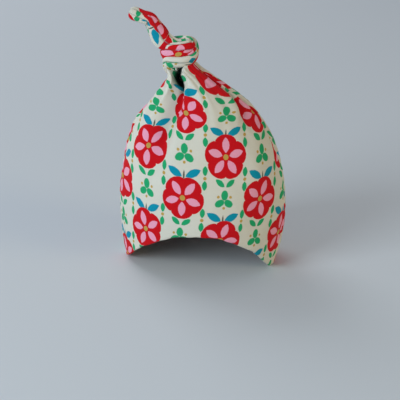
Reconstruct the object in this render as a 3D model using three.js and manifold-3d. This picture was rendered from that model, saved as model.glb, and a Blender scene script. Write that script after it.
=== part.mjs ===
// Egg cosy: a cloth cap for a boiled egg. Two panels are sewn together at the sides, and their long tips are
// gathered and tied in an overhand knot, with a short free tail. Millimetres, +Z up, front at -Y.
// The origin is on the floor, under the middle of the cap, which stands on its hem.
import * as THREE from "three";
import { mergeVertices } from "three/addons/utils/BufferGeometryUtils.js";
import Module from "manifold-3d";

const wasm = await Module();
wasm.setup();

// Cloth
const CLOTH = 1.2; // thickness of one layer of the cap
const TURNED_HEM = 0.8; // what the turned-up hem adds to it, inside
const HEM_DEPTH = 9; // how far up inside the hem is turned
const HEM_STEP = 0.9; // height over which the turned edge dies away
const GAP = 0.3; // clearance between neighbouring pieces

// Cap
const NECK_HEIGHT = 73; // where the cap ends and the knot begins
const NECK_EASE = 2; // height over which the cloth turns level-cut at the neck
const ARCH_HEIGHT = 16.8; // rise of the front hem over the floor
const ARCH_POWER = 1.47; // 1 is a sine arch, and more is leaner at its feet
const ARCH_LEAN = 1.05; // 1 is even, and more moves the crown to the right

// How far the cap reaches to each side of the origin, a row for each level
const LEVELS = [
  { z: 0, left: 27.6, right: 27.6, front: 23.2, back: 23.6 },
  { z: 9, left: 29.3, right: 29.6, front: 24.2, back: 24.4 },
  { z: 20, left: 30.3, right: 30.3, front: 25.0, back: 25.0 },
  { z: 31, left: 30.0, right: 29.2, front: 24.4, back: 24.6 },
  { z: 40, left: 29.0, right: 27.0, front: 22.4, back: 23.2 },
  { z: 47, left: 27.4, right: 23.9, front: 19.6, back: 20.6 },
  { z: 53, left: 25.1, right: 20.2, front: 16.6, back: 17.4 },
  { z: 59, left: 20.9, right: 15.3, front: 13.2, back: 13.6 },
  { z: 64, left: 17.1, right: 8.9, front: 10.2, back: 10.2 },
  { z: 69, left: 14.7, right: 1.1, front: 7.2, back: 7.0 },
  { z: NECK_HEIGHT, left: 16.4, right: -4.8, front: 5.2, back: 5.0 },
];

// Side seams: direction from the cap's middle, in degrees from +X, a row for each level
const SEAMS = [
  { z: 0, left: 187, right: 343 },
  { z: 24, left: 184, right: 350 },
  { z: 50, left: 183, right: 354 },
  { z: NECK_HEIGHT, left: 190, right: 346 },
];

// Folds that run down from the knot. An angle is in degrees from +X, low down and at the neck. A fold's share is
// its depth over the local radius, negative for a valley. It begins at the height "fades" and is whole at "full".
const FOLDS = [
  { low: 234, neck: 233, halfWidth: 13, share: -0.45, fades: 42, full: 67 },
  { low: 272, neck: 283, halfWidth: 18, share: 0.16, fades: 46, full: 68 },
  { low: 203, neck: 208, halfWidth: 13, share: 0.12, fades: 46, full: 66 },
  { low: 319, neck: 317, halfWidth: 9, share: 0.1, fades: 54, full: 65 },
  { low: 334, neck: 326, halfWidth: 11, share: -0.18, fades: 50, full: 66 },
  { low: 160, neck: 170, halfWidth: 12, share: -0.18, fades: 48, full: 67 },
  { low: 138, neck: 146, halfWidth: 12, share: 0.08, fades: 52, full: 66 },
  { low: 118, neck: 125, halfWidth: 13, share: -0.28, fades: 46, full: 66 },
  { low: 74, neck: 80, halfWidth: 12, share: -0.12, fades: 54, full: 68 },
  { low: 36, neck: 44, halfWidth: 12, share: -0.26, fades: 46, full: 66 },
];

// Knot and tail: the gathered strand's middle line, relative to the knot's own middle, with its width and
// thickness at each point. "crease" is how far its section is bent to a shallow V.
const KNOT_MIDDLE = new THREE.Vector3(-9.9, 0, 78.8);
const STRAND = [
  { x: -2, y: 0.3, z: -9.6, wide: 5.6, thick: 5, crease: 0 },
  { x: -4.1, y: -1, z: -6.6, wide: 5.6, thick: 5, crease: 0 },
  { x: -3.9, y: -3.2, z: -4.9, wide: 5.2, thick: 4.2, crease: 0 },
  { x: 0.2, y: -4.4, z: -4.1, wide: 4.8, thick: 3.6, crease: 0 },
  { x: 3.1, y: -3.2, z: -3.0, wide: 5.2, thick: 3.6, crease: 0 },
  { x: 3.9, y: -0.6, z: -1.0, wide: 5.6, thick: 3.6, crease: 0 },
  { x: 3.1, y: 0.6, z: 1.6, wide: 5.8, thick: 3.8, crease: 0 },
  { x: 0.6, y: 1.8, z: 1.9, wide: 5.4, thick: 3.8, crease: 0 },
  { x: -3.2, y: 2.8, z: 0.4, wide: 5.4, thick: 3.6, crease: 0 },
  { x: -6, y: 0.4, z: -2.2, wide: 7.2, thick: 3.7, crease: 0 },
  { x: -4.6, y: -3, z: -1.3, wide: 6.2, thick: 3.4, crease: 0 },
  { x: -0.8, y: -4.2, z: -0.3, wide: 5.6, thick: 3.2, crease: 0 },
  { x: 2.2, y: -3.0, z: 0.7, wide: 5.0, thick: 3.2, crease: 0 },
  { x: 2.2, y: -1.0, z: 1.2, wide: 4.6, thick: 3.2, crease: 0 },
  { x: -2.2, y: -1.9, z: 1.0, wide: 5.2, thick: 3.4, crease: 0.1 },
  { x: -6.9, y: -2.6, z: 2.6, wide: 6.6, thick: 3.3, crease: 0.5 },
  { x: -8.8, y: -2.8, z: 5.2, wide: 6.6, thick: 3.0, crease: 0.9 },
  { x: -10.3, y: -3.2, z: 8, wide: 5.3, thick: 2.6, crease: 1.1 },
  { x: -12, y: -3.6, z: 10.3, wide: 5, thick: 2.5, crease: 0.9 },
  { x: -14.8, y: -3.9, z: 11, wide: 4.8, thick: 2.5, crease: 0.6 },
  { x: -19, y: -4.2, z: 12.4, wide: 5.2, thick: 2.4, crease: 0.4 },
];

// The neck's gathers, which fill the middle of the knot, in the same terms
const CORE = [
  { x: -0.8, y: 0.2, z: -8.0, wide: 9.8, thick: 8.8, crease: 0 },
  { x: -0.8, y: 0.2, z: -4.6, wide: 9.8, thick: 8.6, crease: 0 },
  { x: -0.4, y: 0.2, z: -1.6, wide: 9.0, thick: 8.0, crease: 0 },
  { x: 0, y: 0, z: 1.4, wide: 7.0, thick: 5.6, crease: 0 },
];

// The lengths of the knot, from one row of a table to another, each a little past the start of the next. The flat
// side of each faces away from its hub.
const KNOT_HUB = new THREE.Vector3(0, 0.6, 0);
const TAIL_HUB = new THREE.Vector3(-12, 20, 0);
const KNOT_LENGTHS = [
  { rows: CORE, from: 0, to: 3, steps: 6, hub: TAIL_HUB },
  { rows: STRAND, from: 0, to: 6.1, steps: 14, hub: KNOT_HUB },
  { rows: STRAND, from: 6, to: 10.1, steps: 10, hub: KNOT_HUB },
  { rows: STRAND, from: 10, to: 13.1, steps: 7, hub: KNOT_HUB },
];
const KNOT_END = { rows: STRAND, from: 13, to: 15, steps: 5, hub: TAIL_HUB };
const TAIL_LENGTH = { rows: STRAND, from: 15, to: 20, steps: 14, hub: TAIL_HUB };
const TIP = 0.5; // how many rows of a table the rounding at its far end takes
const TIP_SIZE = 0.45; // how much of its width is left at the very end

const CUTTER = 20; // side of the block that cuts the knot's root level, and the knot and tail where they meet

// Mesh density
const PANEL_COLUMNS = 40;
const HEM_ROWS = 3;
const PANEL_ROWS = 22;
const STRAND_SIDES = 16;

const PROBE = 0.25; // step, in degrees and in millimetres, that finds which way the cloth faces
const DEGREE = Math.PI / 180;
const UP = new THREE.Vector3(0, 0, 1);
const clothPrint = { color: 0xe9dfc6, roughness: 0.86, metalness: 0 };

// A smooth curve through one column of a table: a cubic between two rows, its slopes taken from their neighbours
function readTable(rows, by, column, at) {
  const last = rows.length - 1;
  const i = rows.findIndex((row, n) => n === last - 1 || at < rows[n + 1][by]);
  const slopeAt = (n) => {
    const low = rows[Math.max(n - 1, 0)];
    const high = rows[Math.min(n + 1, last)];
    return (high[column] - low[column]) / (high[by] - low[by]);
  };
  const span = rows[i + 1][by] - rows[i][by];
  const s = (at - rows[i][by]) / span;
  const from = rows[i][column];
  const to = rows[i + 1][column];
  return (
    from * (1 + 2 * s) * (1 - s) ** 2 +
    to * s * s * (3 - 2 * s) +
    slopeAt(i) * span * s * (1 - s) ** 2 -
    slopeAt(i + 1) * span * s * s * (1 - s)
  );
}

const level = (column, z) => readTable(LEVELS, "z", column, z);
const seam = (side, z) => readTable(SEAMS, "z", side, z);

// How much the folds move the cap's wall in or out there, as a share of its radius
function foldShare(angle, z) {
  return FOLDS.reduce((sum, fold) => {
    const grown = THREE.MathUtils.smoothstep(z, fold.fades, fold.full);
    const middle = THREE.MathUtils.lerp(fold.low, fold.neck, grown);
    const away = THREE.MathUtils.euclideanModulo(angle - middle + 180, 360) - 180;
    return sum + fold.share * grown * Math.exp(-((away / fold.halfWidth) ** 2));
  }, 0);
}

// A point of the cap's outer face: an oval at that height, its four quarters joined smoothly, moved by the folds
function capPoint(angle, z) {
  const middle = (level("right", z) - level("left", z)) / 2;
  const halfWidth = (level("right", z) + level("left", z)) / 2;
  const halfDepth = level(Math.sin(angle * DEGREE) < 0 ? "front" : "back", z);
  const reach = 1 + foldShare(angle, z);
  return new THREE.Vector3(
    middle + halfWidth * reach * Math.cos(angle * DEGREE),
    halfDepth * reach * Math.sin(angle * DEGREE),
    z,
  );
}

// Height of the hem: level with the floor at the back and sides, and an arch from seam to seam at the front
function hemHeight(angle) {
  const share = (angle - seam("left", 0)) / (seam("right", 0) - seam("left", 0));
  if (share <= 0 || share >= 1) return 0;
  return ARCH_HEIGHT * Math.sin(Math.PI * share ** ARCH_LEAN) ** ARCH_POWER;
}

// The way out of the cloth, level at the hem and the neck so that both cut edges lie flat
function wayOut(angle, z, overHem) {
  const across = capPoint(angle + PROBE, z).sub(capPoint(angle - PROBE, z));
  const top = Math.min(z + PROBE, NECK_HEIGHT);
  const up = capPoint(angle, top).sub(capPoint(angle, top - 2 * PROBE));
  const out = across.cross(up).normalize();
  out.z *= THREE.MathUtils.smoothstep(overHem, 0, HEM_DEPTH);
  out.z *= THREE.MathUtils.smoothstep(NECK_HEIGHT - z, 0, NECK_EASE);
  return out.normalize();
}

// A panel is a thin block bent into place: its x runs from one seam to the other, y from the hem to the neck, and
// z through the cloth. At a seam it stops half a gap short of it, measured on the inner face.
function panel(name, fromSeam, toSeam) {
  const rows = HEM_ROWS + 1 + PANEL_ROWS;
  const block = new THREE.BoxGeometry(1, 1, 1, PANEL_COLUMNS, rows, 1);
  const spots = block.getAttribute("position");
  for (let i = 0; i < spots.count; i++) {
    const across = spots.getX(i) + 0.5;
    const row = Math.round((spots.getY(i) + 0.5) * rows);
    const outside = spots.getZ(i) > 0;
    const hem = hemHeight(THREE.MathUtils.lerp(fromSeam(0), toSeam(0), across));
    const foldTop = hem + HEM_DEPTH + HEM_STEP;
    const climbed = (row - HEM_ROWS - 1) / PANEL_ROWS;
    const z =
      row <= HEM_ROWS
        ? hem + (HEM_DEPTH * row) / HEM_ROWS
        : THREE.MathUtils.lerp(foldTop, NECK_HEIGHT, climbed);
    const wall = CLOTH + (row <= HEM_ROWS ? TURNED_HEM : 0);
    const inner = (angle) => capPoint(angle, z).addScaledVector(wayOut(angle, z, z - hem), -wall);
    const clearance = (angle) => (GAP * PROBE) / inner(angle + PROBE).distanceTo(inner(angle - PROBE));
    const from = fromSeam(z) + clearance(fromSeam(z));
    const to = toSeam(z) - clearance(toSeam(z));
    const angle = THREE.MathUtils.lerp(from, to, across);
    const point = outside ? capPoint(angle, z) : inner(angle);
    spots.setXYZ(i, point.x, point.y, point.z);
  }
  return cloth(name, solid(block));
}

// A closed mesh as a solid, with its shared corners merged
function solid(geometry) {
  geometry.deleteAttribute("normal");
  geometry.deleteAttribute("uv");
  const merged = mergeVertices(geometry, 1e-4);
  const vertProperties = new Float32Array(merged.getAttribute("position").array);
  const triVerts = new Uint32Array(merged.index.array);
  return new wasm.Manifold(new wasm.Mesh({ numProp: 3, vertProperties, triVerts }));
}

// A named mesh of printed cloth
function cloth(name, made) {
  const { vertProperties, triVerts } = made.getMesh();
  const geometry = new THREE.BufferGeometry();
  geometry.setAttribute("position", new THREE.BufferAttribute(vertProperties, 3));
  geometry.setIndex(new THREE.BufferAttribute(triVerts, 1));
  geometry.computeVertexNormals();
  const mesh = new THREE.Mesh(geometry, new THREE.MeshStandardMaterial(clothPrint));
  mesh.name = name;
  return mesh;
}

// The middle line of a table's strand
function strandLine(rows) {
  return new THREE.CatmullRomCurve3(rows.map((row) => new THREE.Vector3(row.x, row.y, row.z)));
}

// One length of gathered cloth: a cylinder carried along a table's line, and rounded where the table ends. It is as
// much larger all round as its ease says.
function strand({ rows, from, to, steps, hub, ease = 0 }) {
  const line = strandLine(rows);
  const last = rows.length - 1;
  const numbered = rows.map((row, place) => ({ ...row, place }));
  const rod = new THREE.CylinderGeometry(1, 1, 1, STRAND_SIDES, steps);
  const spots = rod.getAttribute("position");
  for (let i = 0; i < spots.count; i++) {
    const place = THREE.MathUtils.lerp(from, to, spots.getY(i) + 0.5);
    const point = line.getPoint(place / last);
    const tangent = line.getTangent(place / last);
    const out = point.clone().sub(hub);
    out.addScaledVector(tangent, -out.dot(tangent)).normalize();
    const side = new THREE.Vector3().crossVectors(tangent, out);
    const read = (column) => readTable(numbered, "place", column, place);
    const rounding = Math.max(0, 1 - (last - place) / TIP);
    const size = Math.sqrt(1 - (1 - TIP_SIZE ** 2) * rounding ** 2);
    const across = spots.getX(i);
    const halfWidth = (read("wide") * size) / 2 + ease;
    const halfThickness = (read("thick") * size) / 2 + ease;
    const deep = spots.getZ(i) * halfThickness - read("crease") * across * across;
    point.addScaledVector(side, across * halfWidth).addScaledVector(out, deep);
    spots.setXYZ(i, point.x, point.y, point.z);
  }
  return solid(rod);
}

// A piece of the strand, at the knot's place
function strandPiece(name, made) {
  const mesh = cloth(name, made);
  mesh.position.copy(KNOT_MIDDLE);
  return mesh;
}

// A block across the strand where the tail begins. It covers what lies past the near side of the gap there when the
// way is 1, and what lies before the far side when it is -1.
function blockAtTail(way) {
  const line = strandLine(TAIL_LENGTH.rows);
  const place = TAIL_LENGTH.from / (TAIL_LENGTH.rows.length - 1);
  const block = new THREE.BoxGeometry(CUTTER, CUTTER, CUTTER);
  block.translate(0, 0, (way * (CUTTER - GAP)) / 2);
  block.applyQuaternion(new THREE.Quaternion().setFromUnitVectors(UP, line.getTangent(place)));
  block.translate(...line.getPoint(place));
  return solid(block);
}

// The strand passes over itself, so the knot is its lengths joined to one solid. Its root is cut level, just clear
// of the cap's neck, and it leaves room for the tail, which lies against it.
function knot() {
  const end = strand(KNOT_END).subtract(blockAtTail(1));
  const wound = KNOT_LENGTHS.map(strand).reduce((whole, length) => whole.add(length), end);
  const below = new THREE.BoxGeometry(CUTTER, CUTTER, CUTTER);
  below.translate(0, 0, NECK_HEIGHT + GAP - KNOT_MIDDLE.z - CUTTER / 2);
  return strandPiece("knot", wound.subtract(solid(below)).subtract(strand({ ...TAIL_LENGTH, ease: GAP })));
}

const tail = () => strandPiece("tail", strand(TAIL_LENGTH).subtract(blockAtTail(-1)));

const eggCosy = new THREE.Group();
eggCosy.add(
  panel(
    "front_panel",
    (z) => seam("left", z),
    (z) => seam("right", z),
  ),
  panel(
    "back_panel",
    (z) => seam("right", z) - 360,
    (z) => seam("left", z),
  ),
  knot(),
  tail(),
);

export default eggCosy;
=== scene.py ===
"""Egg cosy: a cap of printed cotton whose long tips are gathered and tied in a knot, with a short free tail.

Shapes are worked out in millimetres and made in metres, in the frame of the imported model: +Z up, the front at
-Y, and the origin on the floor under the middle of the cap. An angle round the cap is in degrees from +X.
"""
import math

import bpy
import numpy as np
from mathutils import Matrix, Vector


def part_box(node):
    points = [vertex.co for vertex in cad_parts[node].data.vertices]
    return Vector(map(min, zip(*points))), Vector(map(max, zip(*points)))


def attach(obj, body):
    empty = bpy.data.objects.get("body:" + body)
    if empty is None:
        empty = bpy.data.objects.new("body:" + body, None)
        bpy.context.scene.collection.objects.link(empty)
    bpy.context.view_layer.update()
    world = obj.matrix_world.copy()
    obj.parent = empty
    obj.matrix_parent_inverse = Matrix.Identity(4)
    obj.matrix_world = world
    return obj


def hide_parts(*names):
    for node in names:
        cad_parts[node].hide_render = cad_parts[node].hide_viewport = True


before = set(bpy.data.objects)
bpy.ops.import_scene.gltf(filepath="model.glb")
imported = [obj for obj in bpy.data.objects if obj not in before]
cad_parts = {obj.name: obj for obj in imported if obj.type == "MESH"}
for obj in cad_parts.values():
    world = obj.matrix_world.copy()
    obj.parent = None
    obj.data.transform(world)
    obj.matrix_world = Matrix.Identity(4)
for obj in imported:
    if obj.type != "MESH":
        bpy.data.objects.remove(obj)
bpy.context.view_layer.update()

MM = 0.001
FLOOR_TO_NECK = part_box("back_panel")[1][2] / MM

# Cloth
CLOTH = 0.55  # thickness of one layer
HEM_ROLL = 0.65  # radius of the hem's folded edge, which has two layers in it
HEM_DEPTH = 9.0  # how far up inside the hem is turned
HEM_STEP = 0.5  # half the height over which the turned edge dies away
NECK_LIFT = 1.6  # how far the cap's cloth goes up into the knot

# Arch of the front hem
ARCH_HEIGHT = 16.8
ARCH_POWER = 1.47
ARCH_LEAN = 1.05

# Unevenness of the arched hem: waves, each with its turns from seam to seam, its start and its height
HEM_WAVE_COLUMNS = ("turns", "start", "height")
HEM_WAVES = (
    (5.3, 0.8, 0.16),
    (11.7, 2.4, 0.09),
    (19.0, 4.4, 0.05),
)
HEM_WAVES_GROW = (1.0, 6.0)  # heights of the arch over which they grow

# How far the cap reaches to each side of the origin, a row for each level
LEVEL_COLUMNS = ("z", "left", "right", "front", "back")
LEVELS = (
    (0.0, 27.6, 27.6, 23.2, 23.6),
    (9.0, 29.3, 29.6, 24.2, 24.4),
    (20.0, 30.3, 30.3, 25.0, 25.0),
    (31.0, 30.0, 29.2, 24.4, 24.6),
    (40.0, 29.0, 27.0, 22.4, 23.2),
    (47.0, 27.4, 23.9, 19.6, 20.6),
    (53.0, 25.1, 20.2, 16.6, 17.4),
    (59.0, 20.8, 15.3, 13.2, 13.6),
    (64.0, 17.0, 8.8, 10.2, 10.2),
    (69.0, 14.6, 0.9, 7.2, 7.0),
    (73.0, 16.5, -4.9, 5.2, 5.0),
    (75.0, 16.0, -6.2, 4.2, 4.0),
)

# Side seams: direction from the cap's middle, a row for each level
SEAM_COLUMNS = ("z", "left", "right")
SEAMS = (
    (0.0, 187.0, 343.0),
    (24.0, 184.0, 350.0),
    (50.0, 183.0, 354.0),
    (75.0, 190.0, 346.0),
)

# Folds that run down from the knot. "low", "mid" and "neck" are a fold's angles at FOLD_LEVELS. Its share is
# its depth over the local radius, negative for a valley. It begins at the height "fades", is whole at "full",
# and is gone again at "ends". "lean" is how many degrees its crest leans to one side.
FOLD_LEVELS = (50, 65, 75)
FOLD_COLUMNS = ("low", "mid", "neck", "half_width", "share", "fades", "full", "ends", "lean")
FOLDS = (
    (235, 237, 240, 10, -0.34, 36, 60, 76, 0),
    (258, 259, 290, 9, 0.09, 60, 67, 90, -5),
    (203, 201, 222, 13, 0.11, 46, 66, 90, 3),
    (213, 215, 220, 7, 0.08, 57, 66, 90, 5),
    (272, 280, 290, 18, 0.16, 46, 68, 90, 0),
    (312, 312, 315, 7, 0.11, 54, 65, 90, 13),
    (327, 327, 329, 9, -0.28, 50, 66, 90, 0),
    (160, 166, 176, 12, -0.20, 48, 67, 90, 0),
    (138, 142, 150, 11, 0.08, 52, 66, 90, 0),
    (118, 121, 128, 13, -0.28, 46, 66, 90, 0),
    (96, 98, 104, 10, 0.08, 52, 68, 90, 5),
    (74, 77, 84, 11, -0.12, 54, 68, 90, 0),
    (36, 40, 48, 12, -0.26, 46, 66, 90, 0),
    (14, 18, 24, 10, 0.04, 54, 68, 90, -5),
)
FOLD_END = 5  # height over which a fold dies away at its upper end

# Pocket: left of the front's middle the cloth is drawn in deep under the knot. Its direction and half width
# are in degrees, and its depth in mm. It goes to the back and down, and its walls are steep.
POCKET_COLUMNS = ("z", "middle", "half_width", "depth")
POCKET = (
    (60.0, 237.0, 7.0, 0.0),
    (63.0, 240.0, 7.0, 0.5),
    (65.5, 242.0, 9.0, 3.0),
    (67.0, 240.0, 12.0, 7.5),
    (69.5, 238.0, 13.5, 9.6),
    (71.0, 246.0, 12.5, 9.0),
    (72.5, 266.0, 11.0, 6.5),
    (75.5, 300.0, 9.0, 4.0),
)
POCKET_SINK = 0.46  # how far it goes down for each mm that it goes back
# Painted shade: the cloth deep in the pocket is coloured dark between these depths
POCKET_SHADE = (0.8, 6.5)  # depths in mm between which it turns dark

# Slack of the cloth: long soft waves, each with its turns round the cap and up it, its start and its height
WAVE_COLUMNS = ("round", "up", "start", "height")
WAVES = (
    (5, 1.3, 0.7, 0.20),
    (7, -2.1, 2.1, 0.14),
    (11, 1.9, 4.0, 0.09),
    (16, -3.4, 1.2, 0.05),
    (23, 4.3, 5.1, 0.03),
)
WAVES_GROW = (0, 30)  # heights over which they grow
WAVES_FADE = (66, 73)  # heights over which they die away

# Gathers: fine unevenly spaced ridges that grow towards the knot, each row with its count round the cap, its
# start and its height
GATHER_COLUMNS = ("count", "start", "height")
GATHERS = (
    (17, 0.4, 0.24),
    (29, 2.9, 0.13),
    (41, 5.0, 0.06),
)
GATHERS_GROW = (46, 70)  # heights over which they grow
GATHERS_SHIFT = 1.7  # how far their uneven spacing moves them, in radians of their own wave
GATHERS_SHIFT_COUNT = 3  # how often round the cap the spacing is tight

# Seam: the stitched line lies in a shallow groove, and the cloth puckers along it
SEAM_GROOVE = 0.65
SEAM_GROOVE_REACH = 1.0
PUCKER = 0.13
PUCKER_PITCH = 3.4
PUCKER_REACH = 4.5
PUCKER_GROW = (2, 8)  # heights over which it grows

# Mesh density, and the steps of the lines that lengths are measured along
PANEL_COLUMNS = 240
HEM_ROWS = 20
STEP_ROWS = 7
RISE_ROWS = 128
ROLL_ROWS = 8
CLIMB_STEPS = 400
STRAND_STEPS = 40


def read_table(table, columns, column, at, by=None):
    """A smooth curve through one column: a cubic between two rows, its slopes taken from their neighbours."""
    rows = np.asarray(table, float)
    places = np.arange(len(rows), dtype=float) if by is None else rows[:, columns.index(by)]
    values = rows[:, columns.index(column)]
    low = np.maximum(np.arange(len(rows)) - 1, 0)
    high = np.minimum(np.arange(len(rows)) + 1, len(rows) - 1)
    slopes = (values[high] - values[low]) / (places[high] - places[low])
    i = np.clip(np.searchsorted(places, at, side="right") - 1, 0, len(rows) - 2)
    span = places[i + 1] - places[i]
    s = (at - places[i]) / span
    return (
        values[i] * (1 + 2 * s) * (1 - s) ** 2
        + values[i + 1] * s * s * (3 - 2 * s)
        + slopes[i] * span * s * (1 - s) ** 2
        - slopes[i + 1] * span * s * s * (1 - s)
    )


def level(column, z):
    return read_table(LEVELS, LEVEL_COLUMNS, column, z, by="z")


def seam(side, z):
    return read_table(SEAMS, SEAM_COLUMNS, side, z, by="z")


def named_rows(table, columns):
    """A table's rows, each as a dictionary of its columns."""
    return [dict(zip(columns, row)) for row in table]


def smoothstep(x, low, high):
    """0 below low, 1 above high, and a smooth cubic between."""
    t = np.clip((x - low) / (high - low), 0, 1)
    return t * t * (3 - 2 * t)


def folds(angle, z):
    """What the folds do: (share of the radius, degrees sideways). Each is a bell curve over the angle."""
    share = np.zeros_like(angle)
    turn = np.zeros_like(angle)
    for fold in named_rows(FOLDS, FOLD_COLUMNS):
        gone = smoothstep(z, fold["ends"] - FOLD_END, fold["ends"])
        grown = smoothstep(z, fold["fades"], fold["full"]) * (1 - gone)
        middle = np.interp(z, FOLD_LEVELS, (fold["low"], fold["mid"], fold["neck"]))
        away = (angle - middle + 180) % 360 - 180
        bell = grown * np.exp(-((away / fold["half_width"]) ** 2))
        share += fold["share"] * bell
        turn += fold["lean"] * bell
    return share, turn


def pocket(angle, z):
    """How far the cloth is drawn to the back there, a bell curve of the fourth power over the angle."""
    middle, half_width, depth = (
        read_table(POCKET, POCKET_COLUMNS, column, z, by="z") for column in POCKET_COLUMNS[1:]
    )
    away = (angle - middle + 180) % 360 - 180
    return np.where(z > POCKET[0][0], depth * np.exp(-((away / half_width) ** 4)), 0)


def cap_point(angle, z, fine=True):
    """The cap's outer face: an oval at each height, with its own half-axis for the left, right, front and
    back quarter, moved in or out by the folds. The fine face also has the leaning crests, the pocket, the
    long soft waves and the gathers."""
    share, turn = folds(angle, z)
    slack, drawn_in = np.zeros_like(angle), np.zeros_like(angle)
    if fine:
        drawn_in = pocket(angle, z)
        round_cap = np.radians(angle)
        for wave in named_rows(WAVES, WAVE_COLUMNS):
            climb = 2 * np.pi * wave["up"] * z / FLOOR_TO_NECK
            slack += wave["height"] * np.sin(round_cap * wave["round"] + climb + wave["start"])
        slack *= smoothstep(z, *WAVES_GROW) * (1 - smoothstep(z, *WAVES_FADE))
        for ridges in named_rows(GATHERS, GATHER_COLUMNS):
            shift = GATHERS_SHIFT * np.sin(GATHERS_SHIFT_COUNT * round_cap + ridges["start"])
            place = round_cap * ridges["count"] + shift + ridges["start"]
            slack += ridges["height"] * smoothstep(z, *GATHERS_GROW) * np.sin(place)
        angle = angle + turn
    left, right = level("left", z), level("right", z)
    turned = np.radians(angle)
    depth = np.where(np.sin(turned) < 0, level("front", z), level("back", z))
    reach = 1 + share
    x = (right - left) / 2 + ((right + left) / 2 * reach + slack) * np.cos(turned)
    y = (depth * reach + slack) * np.sin(turned) + drawn_in
    return np.stack([x, y, z - POCKET_SINK * drawn_in], axis=-1)


def unit(vectors):
    return vectors / np.maximum(np.linalg.norm(vectors, axis=-1, keepdims=True), 1e-9)


def way_out(angle, z):
    """Which way the cloth faces: the cross product of a small step sideways and one upwards."""
    step = 0.4
    across = cap_point(angle + step, z) - cap_point(angle - step, z)
    up = cap_point(angle, z + step) - cap_point(angle, z - step)
    return unit(np.cross(across, up))


def hem_height(angle):
    """0 at the back and sides, and an arch from seam to seam at the front: a power of half a sine wave, and a
    few small waves over it."""
    share = (angle - seam("left", 0.0)) / (seam("right", 0.0) - seam("left", 0.0))
    share = np.clip(share, 0, 1)
    arch = ARCH_HEIGHT * np.sin(np.pi * share**ARCH_LEAN).clip(0) ** ARCH_POWER
    uneven = np.zeros_like(arch)
    for wave in named_rows(HEM_WAVES, HEM_WAVE_COLUMNS):
        uneven += wave["height"] * np.sin(2 * np.pi * wave["turns"] * share + wave["start"])
    return arch + uneven * smoothstep(arch, *HEM_WAVES_GROW)


def running_length(points, axis):
    """Length along the grid's lines of that axis, from the first point of each."""
    steps = np.linalg.norm(np.diff(points, axis=axis), axis=-1)
    length = np.cumsum(steps, axis=axis)
    pad = [(0, 0), (0, 0)]
    pad[axis] = (1, 0)
    return np.pad(length, pad)


def new_object(name, points, faces, material, cloth_mm=None, cloth_faces=None, marks=None, rims=()):
    """A smooth mesh object from points in millimetres. cloth_mm holds places on the flat cloth, and
    cloth_faces says which of them each corner of a face has, where that isn't its point's own. Marks are
    named values at the points. The edges in a rim, which is a list of points, are sharp."""
    mesh = bpy.data.meshes.new(name)
    points = np.asarray(points, float).reshape(-1, 3) * MM
    faces = np.asarray(faces, dtype=np.int32)
    corners = faces.shape[1]
    mesh.vertices.add(len(points))
    mesh.vertices.foreach_set("co", points.ravel())
    mesh.loops.add(faces.size)
    mesh.loops.foreach_set("vertex_index", faces.ravel())
    mesh.polygons.add(len(faces))
    mesh.polygons.foreach_set("loop_start", np.arange(0, faces.size, corners, dtype=np.int32))
    mesh.polygons.foreach_set("use_smooth", np.ones(len(faces), dtype=bool))
    if cloth_mm is not None:
        flat = np.asarray(cloth_mm, float).reshape(-1, 2)
        corner = (faces if cloth_faces is None else cloth_faces).ravel()
        mesh.uv_layers.new(name="cloth_mm").data.foreach_set("uv", flat[corner].ravel())
    for mark, values in (marks or {}).items():
        attribute = mesh.attributes.new(mark, "FLOAT", "POINT")
        attribute.data.foreach_set("value", np.asarray(values, float).ravel())
    mesh.update(calc_edges=True)
    mesh.validate()
    if len(rims):
        ends = np.empty(2 * len(mesh.edges), dtype=np.int32)
        mesh.edges.foreach_get("vertices", ends)
        ends = ends.reshape(-1, 2)
        sharp = np.any([np.isin(ends, rim).all(axis=1) for rim in rims], axis=0)
        mesh.attributes.new("sharp_edge", "BOOLEAN", "EDGE").data.foreach_set("value", sharp)
    mesh.materials.append(material)
    made = bpy.data.objects.new(name, mesh)
    bpy.context.scene.collection.objects.link(made)
    return made


def grid_faces(rows, columns, wrap_rows=False, wrap_columns=False):
    """The quads of a grid of points. A wrapped grid is closed from its last line to its first."""
    j = np.arange(rows if wrap_rows else rows - 1)
    i = np.arange(columns if wrap_columns else columns - 1)
    j, i = (x.ravel() for x in np.meshgrid(j, i, indexing="ij"))
    above, beside = (j + 1) % rows, (i + 1) % columns
    corners = (j * columns + i, above * columns + i, above * columns + beside, j * columns + beside)
    return np.stack(corners, axis=1)


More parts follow.
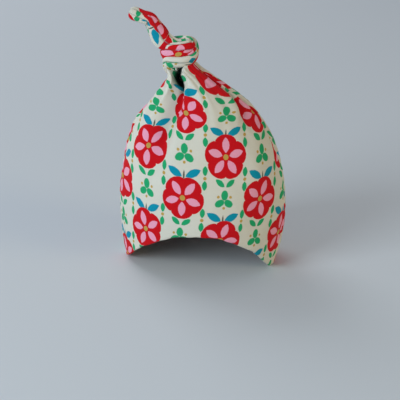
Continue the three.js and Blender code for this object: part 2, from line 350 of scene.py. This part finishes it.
def panel(name, from_seam, to_seam, material):
    """A panel of the cap, as a closed section carried from one seam to the other. The section runs down the
    outside from the neck, round the folded hem, up the turned band inside, over its edge, and up the inside
    to the neck. Both side edges are closed by quads between the outer and the inner rows."""
    top = FLOOR_TO_NECK + NECK_LIFT
    across = np.linspace(0, 1, PANEL_COLUMNS)
    hem = hem_height(from_seam(0.0) + (to_seam(0.0) - from_seam(0.0)) * across)
    low = np.linspace(HEM_ROLL, HEM_DEPTH - HEM_STEP, HEM_ROWS, endpoint=False)
    edge = np.linspace(HEM_DEPTH - HEM_STEP, HEM_DEPTH + HEM_STEP, STEP_ROWS, endpoint=False)
    over_hem = np.concatenate([low, edge])[:, None] + 0 * hem
    start = HEM_DEPTH + HEM_STEP
    climb = np.linspace(0, 1, RISE_ROWS)[:, None]
    over_hem = np.concatenate([over_hem, start + (top - hem - start) * climb])
    roll = np.linspace(0, np.pi, ROLL_ROWS + 2)[1:-1, None]
    down = over_hem[::-1]
    rolled = HEM_ROLL * (1 - np.sin(roll)) + 0 * hem
    over = np.concatenate([down, rolled, over_hem])
    turned = 2 * HEM_ROLL + (CLOTH - 2 * HEM_ROLL) * smoothstep(
        over_hem, HEM_DEPTH - HEM_STEP, HEM_DEPTH + HEM_STEP
    )
    inward = np.concatenate([0 * down, HEM_ROLL * (1 - np.cos(roll)) + 0 * hem, turned])

    z = hem + over
    angle = from_seam(z) + (to_seam(z) - from_seam(z)) * across
    face = cap_point(angle, z)
    out = way_out(angle, z)
    along = running_length(cap_point(angle, z, fine=False), 1)
    to_edge = np.minimum(along, along[:, -1:] - along)
    groove = SEAM_GROOVE * np.exp(-((to_edge / SEAM_GROOVE_REACH) ** 2))
    pucker = PUCKER * np.cos(2 * np.pi * z / PUCKER_PITCH) * np.exp(-((to_edge / PUCKER_REACH) ** 2))
    pucker *= smoothstep(z, *PUCKER_GROW)
    points = face - out * (inward + groove + pucker)[..., None]

    # Its place on the flat cloth: the length along its row, with the folds, and up the left side of the cap
    count = len(down)
    sideways = along - along[:, PANEL_COLUMNS // 2][:, None]
    levels = np.linspace(0, top, CLIMB_STEPS)
    left_side = cap_point(np.full_like(levels, 180.0), levels, fine=False)
    climb_to = running_length(left_side[:, None], 0)[:, 0]
    hem_line = np.interp(hem, levels, climb_to)
    climbed = np.interp(z, levels, climb_to)
    upward = climbed.copy()
    band = count + ROLL_ROWS + np.arange(HEM_ROWS + STEP_ROWS // 2)
    upward[band] = 2 * hem_line - climbed[band]
    upward[count : count + ROLL_ROWS] = hem_line
    wrong = np.zeros_like(z)
    wrong[band[-1] + 1 :] = 1
    # Painted shade: the cloth deep in the pocket is marked to be coloured dark
    marks = {"wrong_side": wrong, "painted_crease_shade": smoothstep(pocket(angle, z), *POCKET_SHADE)}

    rows = len(over)
    faces = grid_faces(rows, PANEL_COLUMNS, wrap_rows=True)
    j = np.arange(rows // 2 - 1)
    first = np.stack([j, rows - 1 - j, rows - 2 - j, j + 1], axis=1) * PANEL_COLUMNS
    last = first[:, ::-1] + PANEL_COLUMNS - 1
    flat = np.stack([sideways, upward], axis=-1)
    faces = np.concatenate([faces, first, last])
    return new_object(name, points, faces, material, flat, marks=marks)


# Knot and tail: the gathered strand's middle line, from the knot's own middle, with its width and thickness.
# "crease" bends its section to a shallow V, and "pleat" is how deep its lengthwise pleats are.
KNOT_MIDDLE = np.array([-9.9, 0.0, 78.8])
STRAND_COLUMNS = ("x", "y", "z", "wide", "thick", "crease", "pleat")
STRAND = (
    (-3.6, 0.2, -9.6, 3.6, 3.2, 0.0, 0.3),
    (-4.9, -1.2, -6.9, 4.4, 3.6, 0.0, 0.3),
    (-3.9, -3.3, -4.9, 5.0, 4.0, 0.0, 0.35),
    (0.2, -4.4, -4.1, 4.8, 3.6, 0.0, 0.3),
    (3.1, -3.2, -3.0, 5.2, 3.6, 0.0, 0.3),
    (3.9, -0.6, -1.0, 5.6, 3.6, 0.0, 0.35),
    (2.9, 0.6, 1.4, 5.6, 3.8, 0.0, 0.35),
    (0.5, 1.8, 1.5, 5.2, 3.8, 0.0, 0.35),
    (-3.2, 2.8, 0.4, 5.4, 3.6, 0.0, 0.35),
    (-6.0, 0.4, -2.2, 7.2, 3.7, 0.0, 0.35),
    (-4.6, -3.0, -1.3, 6.2, 3.4, 0.0, 0.3),
    (-0.8, -4.2, -0.3, 5.6, 3.2, 0.0, 0.3),
    (2.2, -3.0, 0.7, 5.0, 3.2, 0.0, 0.3),
    (2.2, -1.0, 1.2, 4.6, 3.2, 0.0, 0.35),
    (-2.3, -1.9, 0.7, 4.8, 3.4, 0.1, 0.35),
    (-6.9, -2.6, 2.5, 6.4, 3.3, 0.5, 0.35),
    (-8.8, -2.8, 5.2, 6.6, 3.0, 0.9, 0.3),
    (-10.3, -3.2, 8.0, 5.3, 2.6, 1.1, 0.25),
    (-12.0, -3.6, 10.3, 5.0, 2.5, 0.9, 0.2),
    (-14.8, -3.9, 11.0, 4.8, 2.5, 0.6, 0.15),
    (-19.0, -4.2, 12.4, 5.2, 2.4, 0.4, 0.05),
)
TAIL_ROW = 15  # where the knot ends and the tail begins

# The neck's gathers, which fill the middle of the knot, in the same terms
CORE = (
    (-0.6, 2.2, -8.0, 7.6, 3.8, 0.0, 0.5),
    (-0.6, 2.0, -6.0, 8.0, 4.6, 0.0, 0.5),
    (-0.6, 1.2, -3.8, 8.6, 6.2, 0.0, 0.5),
    (-0.4, 0.6, -1.4, 8.0, 6.6, 0.0, 0.5),
    (0.0, 0.0, 1.2, 4.4, 3.8, 0.0, 0.4),
)

# The strand's flat side faces away from the knot's hub, and past the rows of HUB_CHANGE from the tail's
KNOT_HUB = np.array([0.0, 0.6, 0.0])
TAIL_HUB = np.array([-12.0, 20.0, 0.0])
HUB_CHANGE = (11.5, 13.5)
CORE_HUB_CHANGE = (-1, 0)  # before the first row, so the gathers face away from the tail's all along
TIP = 0.5  # how many rows the rounding at a table's end takes
TIP_SIZE = 0.45  # how much of its width is left at the very end
STRAND_SIDES = 112

# Pleats along the strand, which wind slowly round it. Waves make their spacing uneven, each with its count
# round the strand, its radians for each row and its size.
PLEATS = 5
PLEAT_TWIST = 0.17  # how many pleats it winds on by for each row
PLEAT_SHIFTS = ((1, 0.9, 0.5), (2, -0.5, 0.4))
PLEAT_ROUNDING = 0.7  # power of the sine, less than 1 for round ridges and narrow troughs
PLEAT_LEVEL = 0.7  # where, from its trough at 0 to its ridge at 1, a pleat has the strand's own size
# Painted shade: a pleat's trough is coloured darker between these depths, by PLEAT_SHADE
PLEAT_TROUGH = (0.1, 0.7)  # depths under that level between which a trough turns dark
PLEAT_SHADE = 0.5  # how dark it is there
GATHERED = 1.5  # how much cloth there is for the strand's visible girth
TUCKED = 2.6  # how many mm of it each pleat hides

# How each piece lay on the flat cloth: degrees, x and y
CORE_CUT = (0, 0, 0)
KNOT_CUT = (150, 20, 2)
TAIL_CUT = (90, 12, 9)

# Rings of points along each piece
CORE_RINGS = 90
KNOT_RINGS = 420
TAIL_RINGS = 150


def strand(name, table, from_row, to_row, rings, hub_change, cut, material):
    """A length of gathered cloth: a flattened oval carried along a table's smoothed middle line. Its
    lengthwise pleats, a power of a sine, wind slowly round it. Its flat side faces away from the knot's hub,
    and past the rows of hub_change from the tail's. Both ends are closed to their middle. "cut" is how it lay
    on the flat cloth."""
    last_row = len(table) - 1
    place = np.linspace(from_row, to_row, rings)
    fine = np.linspace(0, last_row, STRAND_STEPS * last_row + 1)
    line = np.stack([read_table(table, STRAND_COLUMNS, c, fine) for c in "xyz"], axis=-1)
    ahead = unit(np.gradient(line, axis=0))
    swap = smoothstep(fine, *hub_change)[:, None]
    out = unit(line - KNOT_HUB) * (1 - swap) + unit(line - TAIL_HUB) * swap
    out = unit(out - ahead * (out * ahead).sum(1, keepdims=True))
    length = running_length(line[:, None], 0)[:, 0]

    def at_place(values):
        return np.stack([np.interp(place, fine, column) for column in values.T], axis=-1)

    middle, ahead, out = at_place(line), unit(at_place(ahead)), at_place(out)
    side = unit(np.cross(ahead, out))
    out = unit(np.cross(side, ahead))
    wide, thick, crease, pleat = (
        read_table(table, STRAND_COLUMNS, c, place)[:, None] for c in ("wide", "thick", "crease", "pleat")
    )
    rounding = np.maximum(0, 1 - (last_row - place) / TIP)
    size = np.sqrt(1 - (1 - TIP_SIZE**2) * rounding**2)[:, None]
    turn = np.linspace(0, 2 * np.pi, STRAND_SIDES, endpoint=False)[None, :]

    def pleats(turn):
        """How far round the pleats a place is: pi for each, wound along the strand and spaced unevenly."""
        along = place[:, None]
        uneven = sum(shift * np.sin(count * turn + twist * along) for count, twist, shift in PLEAT_SHIFTS)
        return PLEATS * turn / 2 + np.pi * PLEAT_TWIST * along + uneven

    ridge = np.abs(np.sin(pleats(turn))) ** PLEAT_ROUNDING - PLEAT_LEVEL
    grow = size * (1 + 2 * pleat * ridge / thick)
    across = np.cos(turn)
    sideways = across * wide / 2 * grow
    outward = np.sin(turn) * thick / 2 * grow - crease * across**2
    points = middle[:, None] + side[:, None] * sideways[..., None] + out[:, None] * outward[..., None]
    ends = middle[[0, -1]] - np.array([0, 1])[:, None] * out[[0, -1]] * crease[[0, -1]] / 4
    girth = np.pi * (wide + thick) / 2 * GATHERED
    closing = np.append(turn, [[2 * np.pi]], axis=1)
    folded = np.floor(pleats(closing) / np.pi)
    around = closing / (2 * np.pi) * girth + folded * TUCKED
    flat = np.stack([around, np.interp(place, fine, length)[:, None] + 0 * around], axis=-1)
    turned, x, y = math.radians(cut[0]), *cut[1:]
    flat = flat @ [[math.cos(turned), math.sin(turned)], [-math.sin(turned), math.cos(turned)]] + (x, y)
    # Painted shade in the pleats' troughs, and full painted shade at the middles of the two closed ends
    painted_trough_shade = np.concatenate([PLEAT_SHADE * smoothstep(-ridge, *PLEAT_TROUGH).ravel(), (1, 1)])

    faces = grid_faces(rings, STRAND_SIDES, wrap_columns=True)
    cloth_faces = grid_faces(rings, STRAND_SIDES + 1)
    i = np.arange(0, STRAND_SIDES, 2)
    caps, cloth_caps = [], []
    for ring, middle_point in ((0, rings * STRAND_SIDES), (rings - 1, rings * STRAND_SIDES + 1)):
        way = -1 if ring else 1
        base, cloth_base = ring * STRAND_SIDES, ring * (STRAND_SIDES + 1)
        fan = (np.full_like(i, middle_point), base + (i + 2) % STRAND_SIDES, base + i + 1, base + i)
        cloth_fan = (cloth_base + i + 1, cloth_base + i + 2, cloth_base + i + 1, cloth_base + i)
        caps.append(np.stack(fan, axis=1)[:, :: -way])
        cloth_caps.append(np.stack(cloth_fan, axis=1)[:, :: -way])
    points = np.concatenate([points.reshape(-1, 3), ends]) + KNOT_MIDDLE
    faces = np.concatenate([faces, *caps])
    cloth_faces = np.concatenate([cloth_faces, *cloth_caps])
    rims = (np.arange(STRAND_SIDES), np.arange(STRAND_SIDES) + (rings - 1) * STRAND_SIDES)
    marks = {"wrong_side": np.zeros(len(points)), "painted_crease_shade": painted_trough_shade}
    return new_object(name, points, faces, material, flat, cloth_faces, marks, rims)


class Nodes:
    """Adds nodes to one tree. An input is a socket, which is linked, or a value."""

    def __init__(self, tree):
        self.tree = tree

    def add(self, kind, *inputs, **settings):
        made = self.tree.nodes.new(kind)
        for key, value in settings.items():
            setattr(made, key, value)
        for i, given in enumerate(inputs):
            self.give(made.inputs[i], given)
        return made

    def give(self, socket, given):
        if isinstance(given, bpy.types.NodeSocket):
            self.tree.links.new(given, socket)
        elif given is not None:
            socket.default_value = given

    def math(self, operation, *inputs, clamp=False):
        return self.add("ShaderNodeMath", *inputs, operation=operation, use_clamp=clamp).outputs[0]

    def vector(self, operation, *inputs):
        made = self.add("ShaderNodeVectorMath", *inputs, operation=operation)
        return made.outputs["Value" if operation == "LENGTH" else "Vector"]

    def mix(self, factor, one, other):
        made = self.add("ShaderNodeMix", data_type="RGBA")
        for name, given in (("Factor", factor), ("A", one), ("B", other)):
            kind = "VALUE" if name == "Factor" else "RGBA"
            self.give(next(s for s in made.inputs if s.name == name and s.type == kind), given)
        return next(s for s in made.outputs if s.type == "RGBA")

    def placed(self, point, x=0.0, y=0.0, turn=0.0, stretch=(1.0, 1.0)):
        """The point seen from a motif at x, y that is turned by so many degrees."""
        made = self.add("ShaderNodeMapping", point, vector_type="TEXTURE")
        made.inputs["Location"].default_value = (x, y, 0)
        made.inputs["Rotation"].default_value = (0, 0, math.radians(turn))
        made.inputs["Scale"].default_value = (*stretch, 1)
        return made.outputs[0]

    def inside(self, distance):
        """1 inside a printed shape and 0 outside, over the edge's softness."""
        return self.math("MULTIPLY_ADD", distance, 1 / PRINT_EDGE, 0.5, clamp=True)

    def leaf(self, point, x, y, turn, half_length, half_width):
        """A pointed leaf: where two circles overlap."""
        radius = (half_length**2 + half_width**2) / (2 * half_width)
        seen = self.vector("ABSOLUTE", self.placed(point, x, y, turn))
        away = self.vector("LENGTH", self.vector("ADD", seen, (0, radius - half_width, 0)))
        return self.inside(self.math("SUBTRACT", radius, away))

    def leaf_pair(self, point, x, y, turn, half_length, half_width):
        """A leaf at each side, the left one a mirror image of the right one."""
        return [self.leaf(point, side * x, y, side * turn, half_length, half_width) for side in (-1, 1)]

    def oval(self, point, x, y, turn, half_length, half_width):
        away = self.vector("LENGTH", self.placed(point, x, y, turn, (half_length, half_width)))
        return self.inside(self.math("MULTIPLY", self.math("SUBTRACT", 1.0, away), half_width))

    def any_of(self, *masks):
        whole = masks[0]
        for mask in masks[1:]:
            whole = self.math("MAXIMUM", whole, mask)
        return whole


# Print, in millimetres and degrees on the flat cloth: blossoms on a square grid that stands on its corner, an
# upright sprig in each space between four, and a bud between each two. The sizes of what is printed are half
# its length and half its width.
PRINT_EDGE = 0.16  # softness of a printed edge
PRINT_PITCH = 20.8
PRINT_TURN = 43
PRINT_DIAGONAL = 45  # from the grid's edges to its diagonals, which are nearly upright and level
PRINT_START = (9.6, 45.6)
PRINT_WANDER = 0.3  # how far a printed edge wanders
PRINT_WANDER_SCALE = 1.4
BLOSSOM_TURNS = 4  # each blossom is turned by one of so many equal steps
BLOSSOM_SEED = 3.0
SPRIG_SEED = 11.0

# Blossom
PETALS = 5
BLOSSOM_RADIUS = 7.7
BLOSSOM_NOTCH = 0.17  # how deep the notch between two of its petals is, as a share of its radius
PETAL_ROUNDING = 0.45  # power of the sine, less than 1 for round petals
DROP_PLACE = 4.0  # from the blossom's middle to the middle of a drop
DROP_SIZE = (2.6, 1.3)
BLOSSOM_MIDDLE = (0.95, 0.95)

# Sprig. A pair of leaves and a stem have an x, a y, a turn and a size, which are a pair's right leaf's.
SPRIG_LEAF_PLACE = 1.9
SPRIG_LEAF = (1.75, 1.25)
SPRIG_BERRY_PLACE = 2.6
SPRIG_BERRY = (0.5, 0.5)
UPPER_PAIR = (1.9, 6.0, 38, 2.0, 0.95)
LOWER_PAIR = (3.2, -6.0, 28, 2.9, 1.3)
SPRIG_STEM = (0, -6.9, 90, 1.6, 0.3)

# Bud, in the same terms
BUD_PAIR = (2.5, 0, 0, 1.7, 0.9)
BUD_BERRY = (0.6, 0.6)

# Colours of the print and of the cloth, and the painted shade for its deep creases
CREAM = (0.60, 0.58, 0.505, 1)
RED = (0.53, 0.002, 0.007, 1)
PINK = (0.75, 0.31, 0.43, 1)
TEAL = (0.0, 0.24, 0.35, 1)
GREEN = (0.012, 0.32, 0.125, 1)
OCHRE = (0.46, 0.29, 0.065, 1)
STEM = (0.10, 0.085, 0.07, 1)
# Painted shade: the dark colour given to the pocket's depths and the pleats' troughs
CREASE_SHADE = (0.012, 0.036, 0.036, 1)


def new_group(name, outputs):
    """An empty node group with a point for its input: (group, nodes, the point, the output node)."""
    group = bpy.data.node_groups.new(name, "ShaderNodeTree")
    group.interface.new_socket("Point", in_out="INPUT", socket_type="NodeSocketVector")
    for output in outputs:
        group.interface.new_socket(output, in_out="OUTPUT", socket_type="NodeSocketFloat")
    nodes = Nodes(group)
    return group, nodes, nodes.add("NodeGroupInput").outputs[0], nodes.add("NodeGroupOutput")


def blossom_group():
    """A red blossom of round petals, with a pink drop in each and an ochre middle. Its rim is at its radius,
    less a notch that is deepest between two petals and follows a power of a sine."""
    group, nodes, point, result = new_group("printed blossom", ("Red", "Pink", "Ochre"))
    apart = nodes.add("ShaderNodeSeparateXYZ", point)
    direction = nodes.math("ARCTAN2", apart.outputs[1], apart.outputs[0])
    away = nodes.vector("LENGTH", point)
    wave = nodes.math("ABSOLUTE", nodes.math("SINE", nodes.math("MULTIPLY", direction, PETALS / 2)))
    bulge = nodes.math("POWER", wave, PETAL_ROUNDING)
    depth = BLOSSOM_RADIUS * BLOSSOM_NOTCH
    rim = nodes.math("MULTIPLY_ADD", bulge, depth, BLOSSOM_RADIUS - depth)
    red = nodes.inside(nodes.math("SUBTRACT", rim, away))
    drops = []
    for petal in range(PETALS):
        turn = 360 / PETALS * (petal + 0.5)
        x, y = (DROP_PLACE * f(math.radians(turn)) for f in (math.cos, math.sin))
        drops.append(nodes.leaf(point, x, y, turn, *DROP_SIZE))
    middle = nodes.oval(point, 0, 0, 0, *BLOSSOM_MIDDLE)
    for socket, mask in zip(result.inputs, (red, nodes.any_of(*drops), middle)):
        nodes.give(socket, mask)
    return group


def sprig_group():
    """Three round green leaves about one point, with an ochre berry in each gap between them. Over them a
    pair of green leaves spreads under a blossom, and under them a teal pair with its stem stands on the next
    one."""
    group, nodes, point, result = new_group("printed sprig", ("Green", "Ochre", "Teal", "Stem"))
    leaves, berries = [], []
    for turn in (90, 210, 330):
        x, y = (math.cos(math.radians(turn)), math.sin(math.radians(turn)))
        leaves.append(nodes.oval(point, SPRIG_LEAF_PLACE * x, SPRIG_LEAF_PLACE * y, turn, *SPRIG_LEAF))
        berries.append(nodes.oval(point, -SPRIG_BERRY_PLACE * x, -SPRIG_BERRY_PLACE * y, 0, *SPRIG_BERRY))
    leaves += nodes.leaf_pair(point, *UPPER_PAIR)
    teal = nodes.leaf_pair(point, *LOWER_PAIR)
    stem = nodes.oval(point, *SPRIG_STEM)
    made = (nodes.any_of(*leaves), nodes.any_of(*berries), nodes.any_of(*teal), stem)
    for socket, mask in zip(result.inputs, made):
        nodes.give(socket, mask)
    return group


def bud_group():
    """Two small green leaves end to end with an ochre berry between them."""
    group, nodes, point, result = new_group("printed bud", ("Green", "Ochre"))
    leaves = nodes.leaf_pair(point, *BUD_PAIR)
    berry = nodes.oval(point, 0, 0, 0, *BUD_BERRY)
    for socket, mask in zip(result.inputs, (nodes.any_of(*leaves), berry)):
        nodes.give(socket, mask)
    return group


def cloth_print(nodes, place):
    """The printed colour at a place on the flat cloth, in millimetres."""
    noise = nodes.add("ShaderNodeTexNoise")
    nodes.give(noise.inputs["Vector"], place)
    nodes.give(noise.inputs["Scale"], PRINT_WANDER_SCALE)
    moved = nodes.vector("MULTIPLY_ADD", noise.outputs["Color"], (PRINT_WANDER, PRINT_WANDER, 0), place)
    turned = nodes.placed(moved, *PRINT_START, PRINT_TURN)
    half = PRINT_PITCH / 2

    def in_cell(point, pitch, seed, turns):
        """Wraps a grid to one cell about its middle, which the cell's random number gives one of so many
        turns."""
        edge = pitch / 2
        from_corner = nodes.vector("ADD", point, (edge, edge, 0))
        cell = nodes.vector("FLOOR", nodes.vector("DIVIDE", from_corner, (pitch, pitch, 1)))
        local = nodes.vector("WRAP", point, (edge, edge, 1), (-edge, -edge, -1))
        seeded = nodes.vector("ADD", cell, (seed, seed, 0))
        random = nodes.add("ShaderNodeTexWhiteNoise", seeded, noise_dimensions="3D").outputs["Value"]
        turn = nodes.math("FLOOR", nodes.math("MULTIPLY", random, float(turns)))
        spun = nodes.add("ShaderNodeVectorRotate", local, rotation_type="Z_AXIS")
        upright = math.radians(PRINT_DIAGONAL)
        nodes.give(spun.inputs["Angle"], nodes.math("MULTIPLY_ADD", turn, 2 * math.pi / turns, upright))
        return spun.outputs[0]

    def motif(group, point):
        made = nodes.add("ShaderNodeGroup", node_tree=group)
        nodes.give(made.inputs[0], point)
        return made.outputs

    flower = motif(blossom_group(), in_cell(turned, PRINT_PITCH, BLOSSOM_SEED, BLOSSOM_TURNS))
    between_four = nodes.vector("ADD", turned, (half, half, 0))
    sprig = motif(sprig_group(), in_cell(between_four, PRINT_PITCH, SPRIG_SEED, 1))
    between_two = nodes.placed(nodes.vector("ADD", turned, (half, 0, 0)), turn=PRINT_DIAGONAL)
    edge = half / math.sqrt(2)
    bud = motif(bud_group(), nodes.vector("WRAP", between_two, (edge, edge, 1), (-edge, -edge, -1)))
    colour = nodes.mix(nodes.any_of(bud["Green"], sprig["Green"]), CREAM, GREEN)
    colour = nodes.mix(sprig["Stem"], colour, STEM)
    colour = nodes.mix(sprig["Teal"], colour, TEAL)
    colour = nodes.mix(flower["Red"], colour, RED)
    colour = nodes.mix(flower["Pink"], colour, PINK)
    return nodes.mix(nodes.any_of(flower["Ochre"], sprig["Ochre"], bud["Ochre"]), colour, OCHRE)


# Weave, in millimetres on the flat cloth
WEAVE_PITCH = 0.36  # one thread of the cloth to the next
WEAVE_DEPTH = 0.03
WEAVE_BUMP = 0.8
WEAVE_CROSSING = 1.2  # how quickly warp and weft change places
SLUB_STRETCH = (0.35, 2.4, 1)  # places in the noise for each mm of the cloth
SLUB_HEIGHT = 0.9  # how much the noise adds to a thread's own height of 1
THREAD_SHADE = 0.06  # how much darker it is between the threads

# Finish
ROUGHNESS = 0.80
ROUGHNESS_CHANGE = 0.12  # how much the noise adds to it
SPECULAR = 0.14
SHEEN = 0.04
SHEEN_ROUGHNESS = 0.5
WRONG_SIDE_FADE = 0.62  # how far the print fades to cream on the wrong side
# Painted shade: how far the deepest creases are coloured towards CREASE_SHADE
CREASE_DARK = 0.93  # how far the deepest crease turns to its shade


def printed_cotton():
    """Plain-woven cotton. The print is worked out on the flat cloth, and the wrong side shows it faintly.
    Each thread is an arched sine, warp and weft lie on top by turns as in a checkerboard, and noise makes
    them uneven."""
    material = bpy.data.materials.new("printed_cotton")
    material.use_nodes = True
    nodes = Nodes(material.node_tree)
    shader = material.node_tree.nodes["Principled BSDF"]
    place = nodes.add("ShaderNodeUVMap", uv_map="cloth_mm").outputs[0]
    wrong = nodes.add("ShaderNodeAttribute", attribute_name="wrong_side").outputs["Fac"]
    colour = cloth_print(nodes, place)
    faint = nodes.mix(WRONG_SIDE_FADE, colour, CREAM)
    colour = nodes.mix(wrong, colour, faint)
    # Painted shade: the pocket's depths and the pleats' troughs are coloured towards CREASE_SHADE
    crease = nodes.add("ShaderNodeAttribute", attribute_name="painted_crease_shade").outputs["Fac"]
    colour = nodes.mix(nodes.math("MULTIPLY", crease, CREASE_DARK), colour, CREASE_SHADE)

    threads = math.pi / WEAVE_PITCH
    apart = nodes.add("ShaderNodeSeparateXYZ", nodes.vector("MULTIPLY", place, (threads, threads, 0))).outputs
    waves = [nodes.math("SINE", apart[axis]) for axis in (0, 1)]
    warp, weft = (nodes.math("ABSOLUTE", wave) for wave in waves)
    on_top = nodes.math("MULTIPLY_ADD", nodes.math("MULTIPLY", *waves), WEAVE_CROSSING, 0.5, clamp=True)
    over = nodes.math("MULTIPLY_ADD", nodes.math("SUBTRACT", warp, weft), on_top, weft)
    slub = nodes.add("ShaderNodeTexNoise")
    nodes.give(slub.inputs["Vector"], nodes.vector("MULTIPLY", place, SLUB_STRETCH))
    nodes.give(slub.inputs["Scale"], 1.0)
    height = nodes.math("MULTIPLY_ADD", slub.outputs[0], SLUB_HEIGHT, over)
    # Painted shade: the colour is darker where the weave is low, between the threads and where the noise makes
    # a thread thinner
    shade = nodes.math("MULTIPLY_ADD", height, THREAD_SHADE, 1 - THREAD_SHADE)
    shaded_colour = nodes.add("ShaderNodeVectorMath", colour, None, operation="SCALE")
    nodes.give(shaded_colour.inputs["Scale"], shade)
    nodes.give(shader.inputs["Base Color"], shaded_colour.outputs[0])
    rough = nodes.math("MULTIPLY_ADD", slub.outputs[0], ROUGHNESS_CHANGE, ROUGHNESS)
    nodes.give(shader.inputs["Roughness"], rough)
    bump = nodes.add("ShaderNodeBump")
    nodes.give(bump.inputs["Height"], height)
    nodes.give(bump.inputs["Distance"], WEAVE_DEPTH * MM)
    nodes.give(bump.inputs["Strength"], WEAVE_BUMP)
    nodes.give(shader.inputs["Normal"], bump.outputs[0])
    shader.inputs["Specular IOR Level"].default_value = SPECULAR
    shader.inputs["Sheen Weight"].default_value = SHEEN
    shader.inputs["Sheen Roughness"].default_value = SHEEN_ROUGHNESS
    return material


def plain_material(name, colour, roughness):
    material = bpy.data.materials.new(name)
    material.use_nodes = True
    shader = material.node_tree.nodes["Principled BSDF"]
    shader.inputs["Base Color"].default_value = (*colour, 1)
    shader.inputs["Roughness"].default_value = roughness
    return material


# Camera: at the photograph's angle, from in front and above
AIM = Vector((-1.146, 0.0, 21.85)) * MM
ELEVATION = math.radians(20)
ROLL = math.radians(3)
DISTANCE = 470 * MM
HALF_PICTURE = 200  # pixels
FOCAL_LENGTH = 1281  # pixels
FIELD = 2 * math.atan(HALF_PICTURE / FOCAL_LENGTH)


def add_camera():
    camera = bpy.data.objects.new("camera", bpy.data.cameras.new("camera"))
    camera.data.angle = FIELD
    camera.data.clip_start = 0.01
    eye = AIM + DISTANCE * Vector((0, -math.cos(ELEVATION), math.sin(ELEVATION)))
    tilt = Matrix.Rotation(math.pi / 2 - ELEVATION, 4, "X")
    camera.matrix_world = Matrix.Translation(eye) @ tilt @ Matrix.Rotation(ROLL, 4, "Z")
    bpy.context.scene.collection.objects.link(camera)
    bpy.context.scene.camera = camera


# Lights and the point that they face, in metres and watts: a soft cool light from the front left, one from
# above and behind, and a warm one from the right
LIGHT_COLUMNS = ("name", "place", "size", "power", "colour")
LIGHTS = (
    ("window_light", (-0.62, -0.62, 0.33), 0.45, 6.6, (0.86, 0.96, 1.0)),
    ("top_light", (-0.55, 0.75, 0.75), 0.7, 4.5, (0.95, 0.98, 1.0)),
    ("warm_fill", (1.1, -0.45, 0.28), 0.5, 4.8, (1.0, 0.80, 0.40)),
)
LIT_POINT = (0, 0, 0.035)
SKY = (0.80, 0.86, 0.95, 1)
SKY_STRENGTH = 0.30

# Floor
FLOOR_COLOUR = (0.60, 0.64, 0.69)
FLOOR_ROUGHNESS = 0.9
FLOOR_HALF = 2500


def add_light(name, place, size, power, colour):
    """A square soft light that faces the cap."""
    light = bpy.data.lights.new(name, "AREA")
    light.size = size
    light.energy = power
    light.color = colour
    made = bpy.data.objects.new(name, light)
    made.location = place
    made.rotation_euler = (Vector(LIT_POINT) - Vector(place)).to_track_quat("-Z", "Y").to_euler()
    bpy.context.scene.collection.objects.link(made)


def add_stage():
    """A pale floor, the lights and an even pale sky."""
    corners = [(x * FLOOR_HALF, y * FLOOR_HALF, 0) for x, y in ((-1, -1), (1, -1), (1, 1), (-1, 1))]
    pale = plain_material("pale_floor", FLOOR_COLOUR, FLOOR_ROUGHNESS)
    floor = new_object("floor", corners, ((0, 1, 2, 3),), pale)
    for light in named_rows(LIGHTS, LIGHT_COLUMNS):
        add_light(**light)
    world = bpy.data.worlds.new("studio")
    world.use_nodes = True
    world.node_tree.nodes["Background"].inputs["Color"].default_value = SKY
    world.node_tree.nodes["Background"].inputs["Strength"].default_value = SKY_STRENGTH
    bpy.context.scene.world = world
    bpy.context.scene.view_settings.view_transform = "Standard"


add_camera()
add_stage()
cotton = printed_cotton()
front = panel("front_panel_cloth", lambda z: seam("left", z), lambda z: seam("right", z), cotton)
back = panel("back_panel_cloth", lambda z: seam("right", z) - 360, lambda z: seam("left", z), cotton)
gathers = strand("neck_gathers", CORE, 0, len(CORE) - 1, CORE_RINGS, CORE_HUB_CHANGE, CORE_CUT, cotton)
knot = strand("knot_cloth", STRAND, 0, TAIL_ROW, KNOT_RINGS, HUB_CHANGE, KNOT_CUT, cotton)
tail = strand("tail_cloth", STRAND, TAIL_ROW, len(STRAND) - 1, TAIL_RINGS, HUB_CHANGE, TAIL_CUT, cotton)
replaced = ((front, "front_panel"), (back, "back_panel"), (gathers, "knot"), (knot, "knot"), (tail, "tail"))
for piece, node in replaced:
    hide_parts(node)
    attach(piece, "root")
